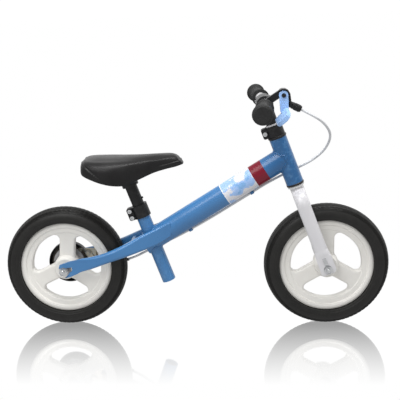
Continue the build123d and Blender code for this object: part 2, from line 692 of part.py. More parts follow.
# reaction plate: a disc on the axle whose arm runs forwards and inwards to the left stay
plate_y = (33.0, cover_plate_y)
arm_y = (26.8, 29.3)
arm_pivot = (40.5, 18.0)        # X and Z from the hub
arm_tip = (58.0, -9.0)
arm_plate_y = (29.9, 32.4)
stop_x = (108.5, 111.0)         # the tab that the cable housing ends against
stop_z = -2.5
wire_y = 35.0
rivet_r = 2.5
clip_bolt_spot = (100.0, 8.5)
clip_bolt_r = 2.0

plate = cross_rod(30, *plate_y) + side_plate([(8, 28.5), (57, 27), (57, 10), (24, 9)], *plate_y)
jog = make_face(Polyline((56, plate_y[0]), (56, plate_y[1]), (57.5, plate_y[1]), (68, arm_y[1]),
                         (71, arm_y[1]), (71, arm_y[0]), (67, arm_y[0]), (57, plate_y[0]), close=True))
plate += Pos(0, 0, 10) * extrude(jog, 16)
front_arm = [(69, 26), (84, 22), (104, 17), (stop_x[1], 11), (stop_x[1], -9), (104, -9), (96, 0), (84, 6), (69, 10)]
plate += side_plate(front_arm, *arm_y)
plate += box_between((stop_x[0], arm_y[0], -9), (stop_x[1], wire_y + 6, 5))
plate -= cross_rod(axle_r, 0, 60)
plate -= Pos(arm_pivot[0], 0, arm_pivot[1]) * cross_rod(rivet_r, 0, 60)
plate -= Pos(clip_bolt_spot[0], 0, clip_bolt_spot[1]) * cross_rod(clip_bolt_r, 0, 60)
plate -= Pos(0, wire_y, stop_z) * Rot(0, 90, 0) * rod(1.3, 90, 130)
save(rear_hub * plate, "brake_reaction_plate")

rivet = cross_rod(rivet_r, 27.0, plate_y[1]) + cross_rod(4.2, 25.6, 27.0)
save(rear_hub * Pos(arm_pivot[0], 0, arm_pivot[1]) * rivet, "brake_arm_pivot")

reach = (arm_tip[0] - arm_pivot[0], arm_tip[1] - arm_pivot[1])
reach_len = hypot(*reach)
across_arm = (-reach[1] / reach_len, reach[0] / reach_len)
wide = 6.5
narrow = 4.6
arm = side_plate([(wide * across_arm[0], wide * across_arm[1]),
                  (reach[0] + narrow * across_arm[0], reach[1] + narrow * across_arm[1]),
                  (reach[0] - narrow * across_arm[0], reach[1] - narrow * across_arm[1]),
                  (-wide * across_arm[0], -wide * across_arm[1])], *arm_plate_y)
arm += cross_rod(wide, *arm_plate_y) + Pos(reach[0], 0, reach[1]) * cross_rod(narrow, *arm_plate_y)
arm -= cross_rod(rivet_r + fit_gap, 0, 60)
arm -= Pos(reach[0], 0, reach[1]) * cross_rod(2.0, 0, 60)
save(rear_hub * Pos(arm_pivot[0], 0, arm_pivot[1]) * arm, "brake_arm")

pinch = cross_rod(2.0, 28.0, 38.2) + cross_rod(3.9, arm_plate_y[1], 36.6) + cross_rod(3.9, 36.6, 39.2)
pinch += cross_tube(3.9, 2.0, 27.4, arm_plate_y[0])
pinch -= Pos(0, wire_y, 0) * Rot(0, 90, 0) * rod(wire_r + 0.6, -10, 10)
save(rear_hub * Pos(arm_tip[0], 0, arm_tip[1]) * pinch, "cable_pinch_bolt")

coil = [(rivet_r + 0.6, 27.1)]
for turn in range(3):
    low = 27.1 + 0.85 * turn
    coil += [(rivet_r + 2.6, low), (rivet_r + 3.0, low + 0.4), (rivet_r + 2.6, low + 0.8)]
coil.append((rivet_r + 0.6, 29.65))
save(rear_hub * Pos(arm_pivot[0], 0, arm_pivot[1]) * turned_y(coil), "brake_return_spring")

# strap that holds the reaction arm under the left stay
clip_x = (95.0, 105.0)
clip_mid = (39.0, 30.6)
strap = box_between((clip_x[0], clip_mid[0] - 10.8, clip_mid[1] - 15.2),
                    (clip_x[1], clip_mid[0] + 10.8, clip_mid[1] + 15.2))
strap = fillet(strap.edges().filter_by(Axis.X), 6)
strap += box_between((clip_x[0], arm_y[1], 2.5), (clip_x[1], arm_y[1] + 1.8, 24))
strap -= side_plate(front_arm, arm_y[0] - 3, arm_y[1])
strap -= Pos(clip_bolt_spot[0], 0, clip_bolt_spot[1]) * cross_rod(clip_bolt_r, 0, 60)
strap = rear_hub * strap - left_stay
strap = strap.solids().sort_by(SortBy.VOLUME)[-1]
save(strap, "brake_arm_strap")

clip_bolt = cross_rod(clip_bolt_r, 26.0, 33.0) + cross_rod(3.6, arm_y[1] + 1.8, 34.0) + cross_rod(3.4, 25.6, arm_y[0])
save(rear_hub * Pos(clip_bolt_spot[0], 0, clip_bolt_spot[1]) * clip_bolt, "strap_bolt")

# ---------------------------------------------------------------- brake cable

housing_end = (rear_x + stop_x[1] + 0.8, wire_y, hub_z + stop_z)
knob_seat = adjuster * Pos(0, 0, 17.9)
route = [
    (knob_seat.position.X, knob_seat.position.Y, knob_seat.position.Z),
    (240.7, -79, 452.4),
    (263.6, -60, 434.0),
    (279.8, -28, 406.8),
    (273.6, 3, 375.0),
    (251.8, 19, 350.2),
    (221.6, 23.5, 333.2),
    (186, 22.5, 317),
    (152, 14, 301),
    (121.7, 8.5, 283.2),
    (-8.3, 8, 203.1),
    (-97.9, 20, 157.9),
    (-138, 32, 134),
    housing_end,
]


def corner_radii(points, share=0.45):
    """The largest arc that each corner of a route allows."""
    radii = []
    for a, b, c in zip(points, points[1:], points[2:]):
        back = Vector(*b) - Vector(*a)
        on = Vector(*c) - Vector(*b)
        half_turn = radians(back.get_angle(on)) / 2
        radii.append(share * min(back.length, on.length) / tan(half_turn))
    return radii


radii = corner_radii(route)
print("cable corner radii", [round(r) for r in radii])
housing_path = FilletPolyline(*route, radius=radii)
start = Plane(origin=housing_path @ 0, z_dir=tuple(housing_path % 0))
housing = sweep(start.location * Circle(housing_r), path=housing_path)
print("housing length", round(housing_path.length, 1), "volume ratio",
      round(housing.volume / (pi * housing_r ** 2 * housing_path.length), 4))
save(housing, "brake_cable_housing")

wire_from = Vector(*housing_end) - Vector(0.8, 0, 0)
wire_to = Vector(rear_x + arm_tip[0] - 5, wire_y, hub_z + arm_tip[1] - 0.6)
wire_line = Line(wire_from, wire_to)
wire = Plane(origin=wire_from, z_dir=tuple(wire_to - wire_from)).location * rod(wire_r, 0, wire_line.length)
save(wire, "brake_cable_wire")

boot_at = Plane(origin=housing_end, z_dir=tuple(Vector(*route[-2]) - Vector(*housing_end))).location
boot = turned_z([(housing_r, 1.0), (4.4, 1.0), (4.8, 3), (4.0, 4), (4.6, 7), (3.8, 8), (4.2, 11), (3.5, 12),
                 (3.3, 18), (housing_r, 18)])
save(boot_at * boot, "cable_boot")


def along_route(x):
    """The place on the lower run of the housing, as a share of its length, that lies at x."""
    shares = [k / 1000 for k in range(400, 1001)]
    return min(shares, key=lambda share: abs((housing_path @ share).X - x))


def guide(x):
    """A guide under the main tube: a lug welded to the tube with a hoop around the housing."""
    share = along_route(x)
    place = Plane(origin=housing_path @ share, x_dir=(0, 1, 0), z_dir=tuple(-(housing_path % share))).location
    hoop = place * (rod(housing_r + 1.6, -4, 4) + box_between((-1.5, 0, -4), (1.5, 9, 4)))
    hoop = hoop - place * rod(housing_r + 0.05, -10, 10) - oval(main_h / 2, main_w / 2, -60, 330)
    return hoop.solids().sort_by(SortBy.VOLUME)[-1]


guide_x = (-8.4, 121.7)
save(group(*[guide(x) for x in guide_x]), "cable_guides")

# ---------------------------------------------------------------- saddle

post = rod(post_r, post_bottom, post_top) - rod(post_r - 1.8, post_bottom - 1, post_top - 4)
stop_level = 152.0
post += Pos(post_r - 1, 0, stop_level) * Rot(0, 90, 0) * rod(2.2, 0, 3.4)
save(seat * post, "seat_post")

# saddle sections: (distance ahead of the rear hub, top, skirt, half-width)
saddle_sections = [
    (47, 353, 341, 38),
    (53, 362, 336, 50),
    (64, 368, 330, 60),
    (84, 370, 321, 66),
    (112, 370.4, 314.5, 66),
    (140, 371, 313.5, 57),
    (168, 372.2, 323.5, 41),
    (196, 374.2, 334.5, 30),
    (222, 374.6, 341.5, 26),
    (242, 369, 346, 22),
    (253, 360, 349.5, 14),
]


def saddle_loft(sections, inset, raised, depth=None):
    """A loft through saddle sections, drawn in by inset, from a little above the skirt up to the top or a depth."""
    faces = []
    for x, top, skirt, half in sections:
        low = skirt + raised
        high = low + depth if depth else top
        plane = Plane(origin=(rear_x + x, 0, (high + low) / 2), x_dir=(0, 1, 0), z_dir=(1, 0, 0))
        corner = 0.46 * min(high - low, 2 * (half - inset))
        faces.append(plane.location * RectangleRounded(2 * (half - inset), high - low, corner))
    return loft(faces)


pan_depth = 3.0
pan_inset = 10.0
pan_gap = 1.4
socket_r = 17.5
socket_low = 184.0
socket_high = 206.0
socket = seat * rod(socket_r, socket_low, socket_high) - saddle_loft(saddle_sections, 0, pan_depth)
base = saddle_loft(saddle_sections[1:-1], pan_inset, 0, pan_depth) + socket
base -= seat * rod(post_r, socket_low - 1, socket_high + 1)
save(base.solids().sort_by(SortBy.VOLUME)[-1], "saddle_base")
save(saddle_loft(saddle_sections, 0, pan_depth + pan_gap), "saddle_cover")
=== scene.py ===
"""Balance bike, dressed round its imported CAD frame.

Row frame, metres: +X forwards, +Y to the rider's left, +Z up, origin on the ground between the hubs.
"""
import math

import bpy
import numpy as np
from mathutils import Matrix, Vector


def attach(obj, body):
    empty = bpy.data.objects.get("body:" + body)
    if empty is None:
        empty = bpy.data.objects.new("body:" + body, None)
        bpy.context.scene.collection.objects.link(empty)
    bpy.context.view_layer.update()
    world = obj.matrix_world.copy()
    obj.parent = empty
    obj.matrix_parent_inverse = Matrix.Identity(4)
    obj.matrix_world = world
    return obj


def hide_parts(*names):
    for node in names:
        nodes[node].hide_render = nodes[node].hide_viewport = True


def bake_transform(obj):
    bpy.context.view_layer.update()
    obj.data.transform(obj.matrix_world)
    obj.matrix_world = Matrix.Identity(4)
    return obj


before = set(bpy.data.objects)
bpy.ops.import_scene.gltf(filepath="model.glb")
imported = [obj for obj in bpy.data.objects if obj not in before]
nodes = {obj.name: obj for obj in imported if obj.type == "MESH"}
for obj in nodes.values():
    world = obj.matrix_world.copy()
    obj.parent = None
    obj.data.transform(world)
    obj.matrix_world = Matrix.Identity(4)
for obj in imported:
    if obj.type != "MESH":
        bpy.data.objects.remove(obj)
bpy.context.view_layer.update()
scene = bpy.context.scene
scene.view_settings.view_transform = "Standard"

# ---------------------------------------------------------------- dimensions shared with the CAD

hub_z = 0.130
rear_x = -0.275
front_x = 0.275
tyre_r = 0.130
tyre_mid_r = 0.108
tyre_half_w = 0.0245
rim_edge_r = 0.098
main_pitch = math.radians(31.6)
main_foot = Vector((-0.069, 0.0, 0.1987))
main_half_h = 0.02315
main_half_w = 0.019
head_angle = math.radians(69.5)
head_r = 0.018
seat_angle = math.radians(70.2)
seat_foot = Vector((-0.069, 0.0, hub_z))
seat_tube_r = 0.0143
front_hub = Vector((front_x, 0.0, hub_z))
rear_hub = Vector((rear_x, 0.0, hub_z))

main_dir = Vector((math.cos(main_pitch), 0, math.sin(main_pitch)))
main_up = Vector((-math.sin(main_pitch), 0, math.cos(main_pitch)))
steer_out = Vector((math.sin(head_angle), 0, math.cos(head_angle)))
seat_dir = Vector((-math.cos(seat_angle), 0, math.sin(seat_angle)))
seat_out = Vector((math.sin(seat_angle), 0, math.cos(seat_angle)))
left = Vector((0, 1, 0))

# ---------------------------------------------------------------- node helpers


class Shader:
    """A material being built: its node tree, its Principled shader and its object coordinates."""

    def __init__(self, name):
        self.material = bpy.data.materials.new(name)
        self.material.use_nodes = True
        self.tree = self.material.node_tree
        self.bsdf = self.tree.nodes["Principled BSDF"]
        self.coords = self.tree.nodes.new("ShaderNodeTexCoord").outputs["Object"]

    def node(self, kind, **inputs):
        made = self.tree.nodes.new(kind)
        for key, value in inputs.items():
            socket = made.inputs[key.replace("_", " ")]
            if isinstance(value, bpy.types.NodeSocket):
                self.tree.links.new(value, socket)
            else:
                socket.default_value = value
        return made

    def set(self, **inputs):
        for key, value in inputs.items():
            socket = self.bsdf.inputs[key.replace("_", " ")]
            if isinstance(value, bpy.types.NodeSocket):
                self.tree.links.new(value, socket)
            else:
                socket.default_value = value

    def noise(self, scale, detail=3.0, roughness=0.5, coords=None):
        made = self.node("ShaderNodeTexNoise", Vector=coords or self.coords, Scale=scale, Detail=detail,
                         Roughness=roughness)
        return made.outputs["Fac"]

    def cells(self, scale, feature="F1", coords=None):
        made = self.node("ShaderNodeTexVoronoi", Vector=coords or self.coords, Scale=scale)
        made.feature = feature
        return made.outputs["Distance"]

    def ramp(self, factor, *stops):
        """Colours or greys laid along a 0 to 1 factor."""
        made = self.node("ShaderNodeValToRGB", Fac=factor)
        elements = made.color_ramp.elements
        while len(elements) < len(stops):
            elements.new(0.5)
        for element, (place, colour) in zip(elements, stops):
            element.position = place
            grey = isinstance(colour, float)
            element.color = (colour, colour, colour, 1) if grey else (*colour, 1)
        return made.outputs["Color"]

    def mix(self, factor, a, b, blend="MIX"):
        made = self.tree.nodes.new("ShaderNodeMix")
        made.data_type = "RGBA"
        made.blend_type = blend
        for index, value in ((0, factor), (6, a), (7, b)):
            socket = made.inputs[index]
            if isinstance(value, bpy.types.NodeSocket):
                self.tree.links.new(value, socket)
            elif index:
                socket.default_value = (*value, 1)
            else:
                socket.default_value = value
        return made.outputs[2]

    def maths(self, operation, a, b=0.0):
        made = self.tree.nodes.new("ShaderNodeMath")
        made.operation = operation
        for socket, value in zip(made.inputs, (a, b)):
            if isinstance(value, bpy.types.NodeSocket):
                self.tree.links.new(value, socket)
            else:
                socket.default_value = value
        return made.outputs[0]

    def span(self, value, low, high):
        """A 0 to 1 value carried to low to high."""
        made = self.node("ShaderNodeMapRange", Value=value, To_Min=low, To_Max=high)
        return made.outputs["Result"]

    def bump(self, *layers):
        """Height layers of (height, depth in metres), one over the other."""
        normal = None
        for height, depth in layers:
            made = self.node("ShaderNodeBump", Height=height, Strength=1.0, Distance=depth)
            if normal:
                self.tree.links.new(normal, made.inputs["Normal"])
            normal = made.outputs["Normal"]
        self.set(Normal=normal)

    def edges(self, start=0.53, end=0.60):
        """1 on sharp outer edges, 0 elsewhere."""
        point = self.tree.nodes.new("ShaderNodeNewGeometry").outputs["Pointiness"]
        return self.ramp(point, (start, 0.0), (end, 1.0))


def paint(name, colour, deep, worn, rough=(0.22, 0.34), coat=0.4, peel=0.00003, fleck=0.0, specular=0.5,
          ahead=None):
    """Sprayed gloss paint: slow drift in tone, orange peel, fine dust, rubbed edges, and another tone ahead,
    which is painted shade darkening the paint towards the front.
    """
    s = Shader(name)
    tone = s.ramp(s.noise(7.0, 4.0), (0.32, deep), (0.68, colour))
    # Painted shade: where given, the ahead tone is blended in from X 0.10 to 0.17 m, darkening the paint towards
    # the front.
    if ahead:
        place = s.node("ShaderNodeSeparateXYZ", Vector=s.coords).outputs["X"]
        tone = s.mix(s.ramp(place, (0.10, 0.0), (0.17, 1.0)), tone, ahead)
    dust = s.ramp(s.noise(900.0, 2.0), (0.62, 0.0), (0.74, 1.0))
    tone = s.mix(s.maths("MULTIPLY", dust, 0.10 + fleck), tone, worn)
    rub = s.maths("MULTIPLY", s.edges(0.56, 0.66), s.ramp(s.noise(120.0, 4.0), (0.50, 0.0), (0.66, 0.40)))
    tone = s.mix(rub, tone, worn)
    s.set(Base_Color=tone, Roughness=s.span(s.noise(38.0, 5.0), *rough), Coat_Weight=coat, Coat_Roughness=0.14,
          Specular_IOR_Level=specular)
    s.bump((s.noise(420.0, 2.0), peel), (s.noise(45.0, 2.0), peel * 2))
    return s.material


def plastic(name, colour, deep, rough=(0.38, 0.52), grain=0.00006, scuff=None, specular=0.5):
    """Moulded plastic: spark-eroded grain, faint flow marks and scuffed edges."""
    s = Shader(name)
    flow = s.noise(16.0, 3.0, 0.6)
    tone = s.ramp(flow, (0.3, deep), (0.7, colour))
    marks = s.ramp(s.noise(240.0, 6.0, 0.7), (0.60, 0.0), (0.72, 1.0))
    light = scuff or tuple(min(1.0, c * 1.25 + 0.01) for c in colour)
    tone = s.mix(s.maths("MULTIPLY", marks, 0.25), tone, light)
    tone = s.mix(s.maths("MULTIPLY", s.edges(), 0.35), tone, light)
    s.set(Base_Color=tone, Roughness=s.span(s.noise(60.0, 4.0), *rough), Specular_IOR_Level=specular)
    s.bump((s.noise(1500.0, 2.0), grain), (s.noise(30.0, 2.0), 0.00012))
    return s.material


def rubber(name, colour, deep, dusty, rough=(0.62, 0.82), specular=0.22):
    """Black rubber: mottled, with pale dust in the hollows and a fine grain."""
    s = Shader(name)
    tone = s.ramp(s.noise(26.0, 6.0, 0.65), (0.3, deep), (0.7, colour))
    dust = s.ramp(s.noise(180.0, 5.0, 0.7), (0.48, 0.0), (0.78, 1.0))
    tone = s.mix(s.maths("MULTIPLY", dust, 0.30), tone, dusty)
    s.set(Base_Color=tone, Roughness=s.span(s.noise(75.0, 4.0), *rough), Specular_IOR_Level=specular)
    s.bump((s.noise(1300.0, 3.0), 0.00010), (s.noise(160.0, 3.0), 0.00018))
    return s.material


def metal(name, colour, deep, rough=(0.18, 0.34), metallic=1.0, brushed=0.00002, rust=0.0):
    """Steel: blotchy plating, fine scratches and a little tarnish."""
    s = Shader(name)
    tone = s.ramp(s.noise(90.0, 5.0, 0.6), (0.3, deep), (0.7, colour))
    if rust:
        spots = s.ramp(s.noise(330.0, 5.0, 0.7), (0.62, 0.0), (0.72, rust))
        tone = s.mix(spots, tone, (0.16, 0.10, 0.06))
    s.set(Base_Color=tone, Metallic=metallic, Roughness=s.span(s.noise(260.0, 4.0), *rough))
    s.bump((s.noise(1600.0, 3.0), brushed), (s.noise(300.0, 3.0), brushed * 3))
    return s.material


def vinyl(name):
    """Black synthetic leather: pebbled grain with painted shade darkening the creases between the pebbles, a
    soft sheen and slightly paler wear on the crown.
    """
    s = Shader(name)
    wear = s.noise(14.0, 5.0, 0.6)
    tone = s.ramp(wear, (0.30, (0.0105, 0.010, 0.0105)), (0.72, (0.024, 0.0235, 0.0235)))
    pebbles = s.cells(620.0, "SMOOTH_F1")
    # Painted shade: the sunken crease lines between the pebbles are darkened towards near-black.
    crease_painted_shade = s.ramp(s.cells(620.0, "DISTANCE_TO_EDGE"), (0.0, 1.0), (0.16, 0.0))
    tone = s.mix(s.maths("MULTIPLY", crease_painted_shade, 0.5), tone, (0.006, 0.006, 0.006))
    s.set(Base_Color=tone, Roughness=s.span(s.noise(45.0, 5.0), 0.30, 0.42), Specular_IOR_Level=0.17)
    s.bump((pebbles, -0.00016), (s.noise(1500.0, 2.0), 0.00005), (s.noise(55.0, 3.0), 0.00035))
    return s.material


def blotched(name, ground, patch, fleck, scale):
    """A printed decal: soft-edged patches of one colour on another, under clear film."""
    s = Shader(name)
    field = s.noise(scale, 1.5, 0.45)
    edge = s.noise(scale * 6, 3.0, 0.6)
    mask = s.maths("ADD", field, s.maths("MULTIPLY", s.maths("SUBTRACT", edge, 0.5), 0.16))
    tone = s.mix(s.ramp(mask, (0.525, 0.0), (0.535, 1.0)), ground, patch)
    tone = s.mix(s.ramp(mask, (0.62, 0.0), (0.63, 1.0)), tone, fleck)
    dust = s.ramp(s.noise(1100.0, 2.0), (0.66, 0.0), (0.76, 0.25))
    tone = s.mix(dust, tone, (0.72, 0.72, 0.74))
    s.set(Base_Color=tone, Roughness=s.span(s.noise(55.0, 4.0), 0.24, 0.36), Coat_Weight=0.3,
          Coat_Roughness=0.1)
    s.bump((s.noise(500.0, 2.0), 0.00002))
    return s.material


# ---------------------------------------------------------------- materials by the record's slots

blue = (0.052, 0.190, 0.420)
blue_deep = (0.038, 0.150, 0.350)
black = (0.012, 0.012, 0.0125)
black_deep = (0.007, 0.007, 0.0075)
lever_blue = (0.30, 0.48, 0.80)

materials = {
    # The frame paint's ahead tone is painted shade: the frame darkens towards the head tube.
    "frame_paint": paint("blue_gloss_paint", blue, blue_deep, (0.12, 0.30, 0.55), rough=(0.24, 0.34), coat=0.3,
                         peel=0.000012, specular=0.4, ahead=(0.014, 0.105, 0.275)),
    "fork_paint": paint("white_pearl_paint", (0.70, 0.69, 0.71), (0.63, 0.625, 0.645), (0.56, 0.56, 0.56),
                        rough=(0.26, 0.36)),
    "black_paint": paint("black_paint_satin", black, black_deep, (0.045, 0.045, 0.046), rough=(0.30, 0.42),
                         coat=0.0, specular=0.28),
    "bar_paint": paint("white_bar_paint", (0.62, 0.615, 0.62), (0.56, 0.555, 0.56), (0.50, 0.50, 0.50),
                       rough=(0.26, 0.38)),
    "rim_plastic": plastic("white_wheel_plastic", (0.79, 0.775, 0.735), (0.74, 0.725, 0.69),
                           scuff=(0.66, 0.65, 0.62), rough=(0.36, 0.48)),
    "tyre_rubber": rubber("tyre_rubber_black", (0.0150, 0.0145, 0.0135), (0.0095, 0.0092, 0.0085),
                          (0.030, 0.029, 0.026), rough=(0.38, 0.54), specular=0.28),
    "grip_rubber": rubber("grip_rubber_black", (0.017, 0.017, 0.017), (0.010, 0.010, 0.010),
                          (0.040, 0.040, 0.040), rough=(0.50, 0.70), specular=0.28),
    "black_plastic": plastic("black_moulded_plastic", black, black_deep, scuff=(0.04, 0.04, 0.04),
                             rough=(0.28, 0.42), specular=0.28),
    "white_plastic": plastic("white_headset_plastic", (0.72, 0.72, 0.72), (0.66, 0.66, 0.65),
                             scuff=(0.6, 0.6, 0.6)),
    "lever_plastic": plastic("light_blue_plastic", lever_blue, (0.31, 0.50, 0.84), scuff=(0.55, 0.72, 0.97),
                             rough=(0.24, 0.36), grain=0.00003),
    "steel_bright": metal("chromed_steel", (0.68, 0.69, 0.70), (0.50, 0.51, 0.52), rough=(0.07, 0.17),
                          brushed=0.00001),
    "steel_zinc": metal("yellow_zinc_steel", (0.62, 0.58, 0.48), (0.44, 0.40, 0.31), rough=(0.26, 0.44),
                        rust=0.30),
    "steel_plain": metal("drawn_steel", (0.50, 0.50, 0.51), (0.32, 0.32, 0.33), rough=(0.28, 0.46), rust=0.25),
    "band_lining": rubber("brake_lining", (0.055, 0.045, 0.035), (0.030, 0.026, 0.022), (0.10, 0.09, 0.08)),
    "cable_jacket": plastic("pale_cable_jacket", (0.66, 0.67, 0.69), (0.58, 0.59, 0.61),
                            scuff=(0.75, 0.75, 0.76), rough=(0.30, 0.42), grain=0.000004),
    "saddle_vinyl": vinyl("saddle_leatherette"),
}
for cad_node in nodes.values():
    for cad_slot in cad_node.material_slots:
        cad_slot.material = materials[cad_slot.material.name]

# ---------------------------------------------------------------- mesh helpers


def new_object(name, points, faces, material, smooth_angle=None):
    mesh = bpy.data.meshes.new(name)
    mesh.from_pydata([tuple(p) for p in points], [], faces)
    mesh.validate()
    mesh.materials.append(material)
    obj = bpy.data.objects.new(name, mesh)
    scene.collection.objects.link(obj)
    shade(obj, smooth_angle)
    return obj


def shade(obj, smooth_angle=None):
    """Smooth shading, creased where faces meet at more than the angle in degrees."""
    obj.data.shade_smooth()
    if smooth_angle:
        obj.data.set_sharp_from_angle(angle=math.radians(smooth_angle))


def grid_faces(rows, columns, close_rows=False, close_columns=True):
    """Quads over a rows by columns grid of points, wrapping where asked."""
    faces = []
    for i in range(rows if close_rows else rows - 1):
        for j in range(columns if close_columns else columns - 1):
            k = (i + 1) % rows
            m = (j + 1) % columns
            faces.append((i * columns + j, i * columns + m, k * columns + m, k * columns + j))
    return faces


def tube_points(centres, radius, sides, closed=False):
    """Rings of points round a line, carried along without twist. The radius may vary along it."""
    centres = [Vector(c) for c in centres]
    count = len(centres)
    radii = radius if hasattr(radius, "__len__") else [radius] * count
    tangents = []
    for i in range(count):
        ahead = centres[(i + 1) % count] if closed or i + 1 < count else centres[i]
        behind = centres[i - 1] if closed or i else centres[i]
        tangents.append((ahead - behind).normalized())
    side = tangents[0].orthogonal().normalized()
    rings = []
    for centre, tangent, r in zip(centres, tangents, radii):
        side = (side - tangent * side.dot(tangent)).normalized()
        other = tangent.cross(side)
        for k in range(sides):
            a = 2 * math.pi * k / sides
            rings.append(centre + (side * math.cos(a) + other * math.sin(a)) * r)
    return rings


def tube_object(name, centres, radius, material, sides=12, closed=False):
    """A closed tube along a line, its ends capped unless it is a loop."""
    points = tube_points(centres, radius, sides, closed)
    rows = len(centres)
    faces = grid_faces(rows, sides, close_rows=closed)
    if not closed:
        faces.append(tuple(range(sides))[::-1])
        faces.append(tuple(range((rows - 1) * sides, rows * sides)))
    return new_object(name, points, faces, material, 40)


def applied(obj):
    """The object's mesh with its modifiers applied."""
    graph = bpy.context.evaluated_depsgraph_get()
    graph.update()
    mesh = bpy.data.meshes.new_from_object(obj.evaluated_get(graph))
    obj.modifiers.clear()
    obj.data = mesh
    return obj


def softened(node, body, voxel, rounds, slot_name, name):
    """A moulded copy of a CAD node: the same solid with its edges rounded as a mould leaves them."""
    obj = bpy.data.objects.new(name, nodes[node].data.copy())
    scene.collection.objects.link(obj)
    weld = obj.modifiers.new("weld", "WELD")
    weld.merge_threshold = 0.00001
    remesh = obj.modifiers.new("remesh", "REMESH")
    remesh.mode = "VOXEL"
    remesh.voxel_size = voxel
    relax = obj.modifiers.new("relax", "SMOOTH")
    relax.factor = 0.5
    relax.iterations = rounds
    applied(obj)
    obj.data.materials.clear()
    obj.data.materials.append(materials[slot_name])
    shade(obj)
    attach(obj, body)
    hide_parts(node)
    return obj


# ---------------------------------------------------------------- tyres

tread_blocks = 84
steps_per_block = 8
tread_depth = 0.0010


def tread_profile():
    """Half of the tyre's section from the crown's middle outwards, as (half-width, depth, grooved across)."""
    rows = [(0.0, 0, 0), (0.0030, 0, 0), (0.0034, 1, 0), (0.0044, 1, 0), (0.0048, 0, 0.5), (0.0084, 0, 0.5),
            (0.0088, 1, 0), (0.0098, 1, 0), (0.0102, 0, 0.5), (0.0140, 0, 0.5)]
    for rib in range(6):
        foot = 0.0146 + 0.0012 * rib
        rows += [(foot, 0.75, 0), (foot + 0.0004, 0.75, 0), (foot + 0.0006, 0, 0), (foot + 0.0010, 0, 0)]
    return rows


def tyre_section():
    """Points round the section: (radius, y, depth of tread there, share of the cross grooves)."""
    half = []
    for y, depth, cross in tread_profile():
        r = tyre_mid_r + (tyre_r - tyre_mid_r) * math.sqrt(1 - (y / tyre_half_w) ** 2)
        half.append((r, y, depth, cross))
    shoulder = math.asin((half[-1][0] - tyre_mid_r) / (tyre_r - tyre_mid_r))
    low = math.asin((rim_edge_r + 0.0004 - tyre_mid_r) / (tyre_r - tyre_mid_r))
    steps = 16
    for k in range(1, steps + 1):
        a = shoulder + (low - shoulder) * k / steps
        bead = 1 if k in (9, 13) else 0
        r = tyre_mid_r + (tyre_r - tyre_mid_r) * math.sin(a)
        half.append((r, tyre_half_w * math.cos(a), 0.5 * bead, 0))
    half += [(rim_edge_r + 0.0002, 0.0190, 0, 0), (rim_edge_r + 0.0006, 0.0150, 0, 0), (0.0972, 0.0116, 0, 0),
             (0.0910, 0.0096, 0, 0)]
    other = [(r, -y, depth, cross) for r, y, depth, cross in half[:0:-1]]
    return other + half


def tyre_object(name, hub, body, node, turn):
    section = tyre_section()
    around = tread_blocks * steps_per_block
    points = []
    for k in range(around):
        groove = {0: 1.0, 1: 1.0}.get(k % steps_per_block, 0.0)
        for r, y, depth, cross in section:
            lean = 0.030 * abs(y) / tyre_half_w
            a = turn + 2 * math.pi * k / around + lean
            cut = max(depth, groove * cross) * tread_depth
            radial = (r - tyre_mid_r) / (tyre_r - tyre_mid_r)
            sideways = y / tyre_half_w
            length = math.hypot(radial, sideways) or 1
            rr = r - cut * radial / length
            yy = y - cut * sideways / length
            points.append((hub.x + rr * math.cos(a), yy, hub.z + rr * math.sin(a)))
    faces = grid_faces(around, len(section), close_rows=True, close_columns=True)
    obj = new_object(name, points, faces, materials["tyre_rubber"], 32)
    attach(obj, body)
    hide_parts(node)


tyre_object("rear_tyre_treaded", rear_hub, "rear_wheel", "rear_tyre", 0.0)
tyre_object("front_tyre_treaded", front_hub, "front_wheel", "front_tyre", 0.02)

# ---------------------------------------------------------------- moulded lever and housing

softened("brake_lever", "brake_lever", 0.0006, 10, "lever_plastic", "brake_lever_moulded")
softened("brake_perch", "handlebar", 0.0005, 6, "black_plastic", "brake_perch_moulded")

# ---------------------------------------------------------------- brake cable housing

housing_r = 0.0025
housing_route = [
    (0.2102, -0.0808, 0.4682), (0.2407, -0.0790, 0.4524), (0.2636, -0.0600, 0.4340), (0.2798, -0.0280, 0.4068),
    (0.2736, 0.0030, 0.3750), (0.2518, 0.0190, 0.3502), (0.2216, 0.0235, 0.3332), (0.1860, 0.0225, 0.3170),
    (0.1520, 0.0140, 0.3010), (0.1217, 0.0085, 0.2832), (-0.0083, 0.0080, 0.2031), (-0.0979, 0.0200, 0.1579),
    (-0.1380, 0.0320, 0.1340), (-0.1632, 0.0350, 0.1275),
]
loop_middle = Vector(housing_route[3])


def nurbs_line(points, name, resolution=24):
    """The smooth line of an open NURBS spline with these control points."""
    curve = bpy.data.curves.new(name, "CURVE")
    curve.dimensions = "3D"
    spline = curve.splines.new("NURBS")
    spline.points.add(len(points) - 1)
    for point, place in zip(spline.points, points):
        point.co = (*place, 1)
    spline.order_u = 3
    spline.use_endpoint_u = True
    spline.resolution_u = resolution
    holder = bpy.data.objects.new(name, curve)
    scene.collection.objects.link(holder)
    graph = bpy.context.evaluated_depsgraph_get()
    mesh = bpy.data.meshes.new_from_object(holder.evaluated_get(graph))
    line = [v.co.copy() for v in mesh.vertices]
    bpy.data.objects.remove(holder)
    bpy.data.meshes.remove(mesh)
    return line


housing_line = nurbs_line(housing_route, "housing_route")
split = min(range(len(housing_line)), key=lambda i: (housing_line[i] - loop_middle).length)
jacket = materials["cable_jacket"]
front_run = tube_object("brake_cable_front_run", housing_line[:split + 1], housing_r, jacket, 16)
rear_run = tube_object("brake_cable_rear_run", housing_line[split:], housing_r, jacket, 16)
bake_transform(front_run)
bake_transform(rear_run)
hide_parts("brake_cable_housing")
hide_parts("brake_cable_housing")

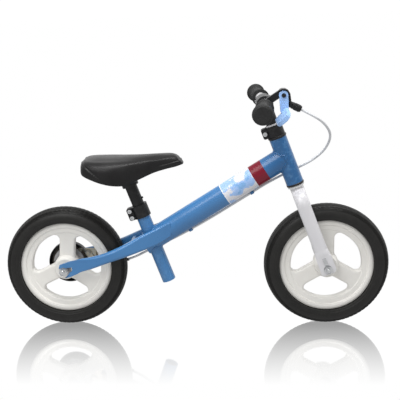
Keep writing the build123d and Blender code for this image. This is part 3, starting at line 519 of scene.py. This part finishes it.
# The inner wire's bare stretch, from the housing's end to the pinch bolt, which draws it along.
wire_r = 0.0008
wire_start = Vector((-0.1640, 0.0350, 0.1275))
wire_end = Vector((-0.2220, 0.0350, 0.1204))
wire_line = [wire_start.lerp(wire_end, k / 40) for k in range(41)]
wire = tube_object("brake_cable_wire_run", wire_line, wire_r, materials["steel_plain"], 12)
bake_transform(wire)
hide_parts("brake_cable_wire")

# ---------------------------------------------------------------- decals and welds on the frame


def main_point(along, angle, lift):
    """A point on the main tube's oval surface, by distance from the seat tube's axis and angle from the side."""
    across_tube = left * ((main_half_w + lift) * math.cos(angle))
    up_tube = main_up * ((main_half_h + lift) * math.sin(angle))
    return main_foot + main_dir * along + across_tube + up_tube


def wrap(name, low, high, material, film=0.00016, lift=0.00004, steps=96):
    """A decal wrapped right round the main tube between two distances along it, as a thin closed film."""
    shape = [(low, lift), (low, film), (high, film), (high, lift)]
    points = []
    for k in range(steps):
        a = 2 * math.pi * k / steps
        points += [main_point(along, a, height) for along, height in shape]
    faces = grid_faces(steps, len(shape), close_rows=True, close_columns=True)
    obj = new_object(name, points, faces, material, 30)
    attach(obj, "frame")
    return obj


silver = (0.66, 0.66, 0.69)
decal_print = blotched("decal_patches", silver, (0.30, 0.47, 0.78), (0.20, 0.40, 0.70), 34.0)
decal_white = paint("decal_edge_white", (0.80, 0.80, 0.82), (0.76, 0.76, 0.78), (0.7, 0.7, 0.7))
crimson = paint("decal_crimson", (0.185, 0.001, 0.016), (0.155, 0.001, 0.012), (0.26, 0.02, 0.04), coat=0.1,
                specular=0.3)
decal_start = 0.159
decal_end = 0.228
crimson_end = 0.256
weld_ripples = 62
wrap("decal_print", decal_start, decal_end, decal_print)
wrap("decal_rear_edge", decal_start - 0.0016, decal_start, decal_white, film=0.00020)
wrap("decal_crimson_block", decal_end, crimson_end, crimson)


def weld(name, points, radius):
    """A weld bead round a joint, its ripples showing, under the frame's paint."""
    count = len(points)
    radii = []
    for k in range(count):
        radii.append(radius * (1 + 0.10 * math.sin(2 * math.pi * weld_ripples * k / count)))
    obj = tube_object(name, points, radii, materials["frame_paint"], 10, closed=True)
    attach(obj, "frame")


def head_joint(steps=360):
    """Where the main tube's oval meets the head tube."""
    points = []
    for k in range(steps):
        a = 2 * math.pi * k / steps
        base = main_point(0, a, 0)
        y = min(abs(base.y), head_r)
        gap = -math.sqrt(head_r ** 2 - y ** 2) - (base - front_hub).dot(steer_out)
        points.append(base + main_dir * (gap / main_dir.dot(steer_out)))
    return points


def seat_joint(side, steps=240):
    """Where the seat tube comes out of the main tube, above (side 1) or below it (side -1)."""
    points = []
    for k in range(steps):
        a = 2 * math.pi * k / steps
        base = seat_foot + seat_out * (seat_tube_r * math.cos(a)) + left * (seat_tube_r * math.sin(a))
        rise = side * main_half_h * math.sqrt(1 - (base.y / main_half_w) ** 2)
        points.append(base + seat_dir * ((rise - (base - main_foot).dot(main_up)) / seat_dir.dot(main_up)))
    return points


weld("weld_head", head_joint(), 0.0017)
weld("weld_seat_top", seat_joint(1), 0.0014)
weld("weld_seat_bottom", seat_joint(-1), 0.0014)

# ---------------------------------------------------------------- saddle

saddle_sections = [
    # x ahead of the rear hub, top, skirt, half-width
    (0.0452, 0.3500, 0.3440, 0.018), (0.0462, 0.3585, 0.3395, 0.036), (0.0492, 0.3637, 0.3355, 0.047),
    (0.0560, 0.3668, 0.3320, 0.0545), (0.0690, 0.3683, 0.3268, 0.0600), (0.0870, 0.3690, 0.3205, 0.0635),
    (0.1120, 0.3696, 0.3145, 0.0635), (0.1400, 0.3702, 0.3135, 0.0550), (0.1680, 0.3712, 0.3235, 0.0395),
    (0.1960, 0.3728, 0.3345, 0.0290), (0.2220, 0.3732, 0.3415, 0.0250), (0.2390, 0.3694, 0.3450, 0.0220),
    (0.2475, 0.3635, 0.3472, 0.0182), (0.2528, 0.3568, 0.3486, 0.0138), (0.2556, 0.3516, 0.3494, 0.0070),
]
pan_rear = 0.0512      # the moulded pan lies between these, inside the skirt's lip
pan_nose = 0.2440
pan_space = 0.0046
lip_gap = 0.0002
lip_width = 0.0088
crown_steps = 16


def smooth_rows(rows, count):
    """That many rows along a smooth line through the given rows (a Catmull-Rom spline)."""
    rows = np.array(rows, float)
    place = np.linspace(0, len(rows) - 1, count)
    out = []
    for t in place:
        i = min(int(t), len(rows) - 2)
        p = [rows[max(0, min(len(rows) - 1, j))] for j in (i - 1, i, i + 1, i + 2)]
        f = t - i
        out.append(0.5 * (2 * p[1] + (p[2] - p[0]) * f + (2 * p[0] - 5 * p[1] + 4 * p[2] - p[3]) * f ** 2
                          + (3 * p[1] - p[0] - 3 * p[2] + p[3]) * f ** 3))
    return out


def saddle_ring(x, top, skirt, half):
    """One cross-section: a crowned top, full sides, and a skirt that wraps down round the pan."""
    brow = skirt + 0.36 * (top - skirt)
    roof = pan_space if pan_rear < x < pan_nose else lip_gap * 2
    inner = max(half - lip_width, 0.2 * half)
    side = []
    for k in range(crown_steps + 1):
        a = math.pi / 2 * k / crown_steps
        side.append((half * math.sin(a) ** 0.84, brow + (top - brow) * math.cos(a) ** 0.74))
    for share, height in ((0.992, 0.72), (0.972, 0.42), (0.948, 0.16)):
        side.append((half * share, skirt + (brow - skirt) * height))
    side += [(half * 0.925, skirt + lip_gap), (inner, skirt + lip_gap), (inner * 0.97, skirt + roof)]
    side += [(inner * 0.5, skirt + roof), (0.0, skirt + roof)]
    ring = side + [(-y, z) for y, z in side[-2:0:-1]]
    return [(rear_x + x, y, z) for y, z in ring]


def saddle_shell():
    """The cover's closed shell, and the points on it that the pan holds still."""
    rings = [saddle_ring(*row) for row in smooth_rows(saddle_sections, 72)]
    count = len(rings[0])
    points = [p for ring in rings for p in ring]
    faces = grid_faces(len(rings), count)
    faces.append(tuple(range(count))[::-1])
    faces.append(tuple(range((len(rings) - 1) * count, len(rings) * count)))
    obj = new_object("saddle_padded", points, faces, materials["saddle_vinyl"])
    held = [i for i in range(len(points)) if crown_steps < min(i % count, count - i % count)]
    obj.vertex_groups.new(name="held").add(held, 1.0, "REPLACE")
    return obj


def inflate(obj, pressure, cap, frames=20):
    """Swells a closed shell as stuffed fabric, no point moving more than the cap."""
    start = np.array([v.co for v in obj.data.vertices])
    cloth = obj.modifiers.new("cloth", "CLOTH")
    cloth.settings.vertex_group_mass = "held"
    cloth.settings.use_pressure = True
    cloth.settings.uniform_pressure_force = pressure
    cloth.settings.effector_weights.gravity = 0
    cloth.settings.quality = 6
    cloth.settings.tension_stiffness = 20
    cloth.settings.compression_stiffness = 20
    cloth.settings.bending_stiffness = 1.0
    scene.frame_start = 1
    scene.frame_end = frames
    for number in range(1, frames + 1):
        scene.frame_set(number)
    graph = bpy.context.evaluated_depsgraph_get()
    swollen = obj.evaluated_get(graph).to_mesh()
    end = np.array([v.co for v in swollen.vertices])
    obj.evaluated_get(graph).to_mesh_clear()
    obj.modifiers.clear()
    scene.frame_set(1)
    move = end - start
    far = np.linalg.norm(move, axis=1, keepdims=True)
    end = start + move * np.minimum(1, cap / np.maximum(far, 1e-9))
    obj.data.vertices.foreach_set("co", end.astype(np.float32).ravel())
    relax = obj.modifiers.new("relax", "SMOOTH")
    relax.factor = 0.5
    relax.iterations = 10
    relax.vertex_group = "held"
    relax.invert_vertex_group = True
    divide = obj.modifiers.new("divide", "SUBSURF")
    divide.levels = 2
    applied(obj)
    shade(obj)


saddle = saddle_shell()
inflate(saddle, 4.0, 0.003)


def press_seam(obj, distance, where, depth=0.0012, width=0.0014):
    """Draws the cover in along a seam and stands its piping up beside it, by each point's distance to it."""
    co = np.array([v.co for v in obj.data.vertices])
    normals = np.array([v.normal for v in obj.data.vertices])
    off = distance(co)
    pull = depth * (np.exp(-(off / width) ** 2) - 0.7 * np.exp(-(off / width - 2) ** 2)) * where(co)
    obj.data.vertices.foreach_set("co", (co - normals * pull[:, None]).astype(np.float32).ravel())
    obj.data.update()


rear_seam_point = np.array((rear_x + 0.066, 0, 0.346))
rear_seam_slope = math.radians(-38)
rear_seam_normal = np.array((-math.sin(rear_seam_slope), 0, math.cos(rear_seam_slope)))
nose_seam_point = np.array((rear_x + 0.230, 0, 0.3525))
nose_seam_slope = math.radians(13)
nose_seam_normal = np.array((-math.sin(nose_seam_slope), 0, math.cos(nose_seam_slope)))


def to_rear_seam(co):
    return (co - rear_seam_point) @ rear_seam_normal


def to_nose_seam(co):
    return (co - nose_seam_point) @ nose_seam_normal


def on_rear_side(co):
    """1 on the rear part of the saddle's sides, clear of its crown and its skirt."""
    return (co[:, 0] < rear_x + 0.125) * (co[:, 2] < 0.362) * (co[:, 2] > 0.318)


def on_nose(co):
    """0 to 1 where the nose begins."""
    return np.clip((co[:, 0] - rear_x - 0.200) / 0.012, 0, 1)


press_seam(saddle, to_rear_seam, on_rear_side)
press_seam(saddle, to_nose_seam, on_nose, depth=0.0010)
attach(saddle, "saddle")
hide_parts("saddle_cover")

# ---------------------------------------------------------------- floor, light and camera

floor_half = 60.0
floor_shader = Shader("studio_floor")
apart = floor_shader.node("ShaderNodeSeparateXYZ", Vector=floor_shader.coords)
off_line = floor_shader.maths("ABSOLUTE", apart.outputs["Y"])
sheen = floor_shader.ramp(off_line, (0.02, 0.66), (0.30, 0.0))
floor_shader.tree.nodes.remove(floor_shader.bsdf)
white_part = floor_shader.node("ShaderNodeEmission", Color=(1, 1, 1, 1), Strength=1.0)
gloss_part = floor_shader.node("ShaderNodeBsdfGlossy", Color=(1, 1, 1, 1),
                               Roughness=floor_shader.span(floor_shader.noise(3.0), 0.03, 0.06))
blend_part = floor_shader.node("ShaderNodeMixShader", Fac=sheen)
floor_shader.tree.links.new(white_part.outputs[0], blend_part.inputs[1])
floor_shader.tree.links.new(gloss_part.outputs[0], blend_part.inputs[2])
floor_shader.tree.links.new(blend_part.outputs[0], floor_shader.tree.nodes["Material Output"].inputs[0])
floor = new_object("studio_floor", [(-floor_half, -floor_half, 0), (floor_half, -floor_half, 0),
                                    (floor_half, floor_half, 0), (-floor_half, floor_half, 0)],
                   [(0, 1, 2, 3)], floor_shader.material)
floor.visible_diffuse = False
floor.visible_glossy = False

# The room: a white wall beyond the bike, dimmer on the camera's side, dimmer still overhead and below.
world = bpy.data.worlds.new("studio")
scene.world = world
world.use_nodes = True
sky = world.node_tree


def sky_maths(operation, *values):
    made = sky.nodes.new("ShaderNodeMath")
    made.operation = operation
    for socket, value in zip(made.inputs, values):
        if isinstance(value, bpy.types.NodeSocket):
            sky.links.new(value, socket)
        else:
            socket.default_value = value
    return made.outputs[0]


def sky_ramp(value, *stops):
    made = sky.nodes.new("ShaderNodeValToRGB")
    sky.links.new(value, made.inputs["Fac"])
    while len(made.color_ramp.elements) < len(stops):
        made.color_ramp.elements.new(0.5)
    for element, (place, grey) in zip(made.color_ramp.elements, stops):
        element.position = place
        element.color = (grey, grey, grey, 1)
    return made.outputs["Color"]


heading = sky.nodes.new("ShaderNodeSeparateXYZ")
sky.links.new(sky.nodes.new("ShaderNodeTexCoord").outputs["Generated"], heading.inputs[0])
height = sky_maths("MULTIPLY_ADD", heading.outputs["Z"], 0.5, 0.5)
depth = sky_maths("MULTIPLY_ADD", heading.outputs["Y"], 0.5, 0.5)
far_wall = sky_ramp(depth, (0.30, 0.0), (0.72, 1.0))
beyond = sky_ramp(height, (0.40, 0.50), (0.50, 1.06), (0.70, 1.06), (0.95, 0.70))
near = sky_ramp(height, (0.30, 0.80), (0.48, 0.62), (0.62, 0.55), (0.95, 0.62))
room = sky.nodes.new("ShaderNodeMix")
room.data_type = "RGBA"
sky.links.new(far_wall, room.inputs[0])
sky.links.new(near, room.inputs[6])
sky.links.new(beyond, room.inputs[7])
sky.links.new(room.outputs[2], sky.nodes["Background"].inputs["Color"])
sky.nodes["Background"].inputs["Strength"].default_value = 1.0


def softbox(name, place, target, size, power):
    light = bpy.data.lights.new(name, "AREA")
    light.shape = "RECTANGLE"
    light.size, light.size_y = size
    light.energy = power
    obj = bpy.data.objects.new(name, light)
    obj.location = place
    obj.rotation_euler = (Vector(target) - Vector(place)).to_track_quat("-Z", "Y").to_euler()
    scene.collection.objects.link(obj)


softbox("key_softbox", (-0.6, -1.3, 1.5), (0, 0, 0.25), (0.9, 0.9), 12)
softbox("top_softbox", (0.1, -0.3, 1.7), (0, 0, 0.2), (1.6, 0.40), 24)

camera_place = Vector((0.077, -1.641, 0.666))
camera_yaw = math.radians(-3.93)
camera_pitch = math.radians(12.92)
camera_roll = math.radians(-1.69)
ahead = Vector((math.sin(camera_yaw) * math.cos(camera_pitch), math.cos(camera_yaw) * math.cos(camera_pitch),
                -math.sin(camera_pitch)))
level_right = Vector((math.cos(camera_yaw), -math.sin(camera_yaw), 0))
level_up = level_right.cross(ahead)
camera_right = level_right * math.cos(camera_roll) + level_up * math.sin(camera_roll)
camera_up = level_up * math.cos(camera_roll) - level_right * math.sin(camera_roll)
lens = bpy.data.cameras.new("camera")
lens.sensor_width = 36.0
lens.lens = 72.72
lens.shift_x = 0.059
lens.shift_y = -0.0208
lens.clip_end = 200
camera = bpy.data.objects.new("camera", lens)
camera.matrix_world = Matrix((
    (camera_right.x, camera_up.x, -ahead.x, camera_place.x),
    (camera_right.y, camera_up.y, -ahead.y, camera_place.y),
    (camera_right.z, camera_up.z, -ahead.z, camera_place.z),
    (0, 0, 0, 1),
))
scene.collection.objects.link(camera)
scene.camera = camera
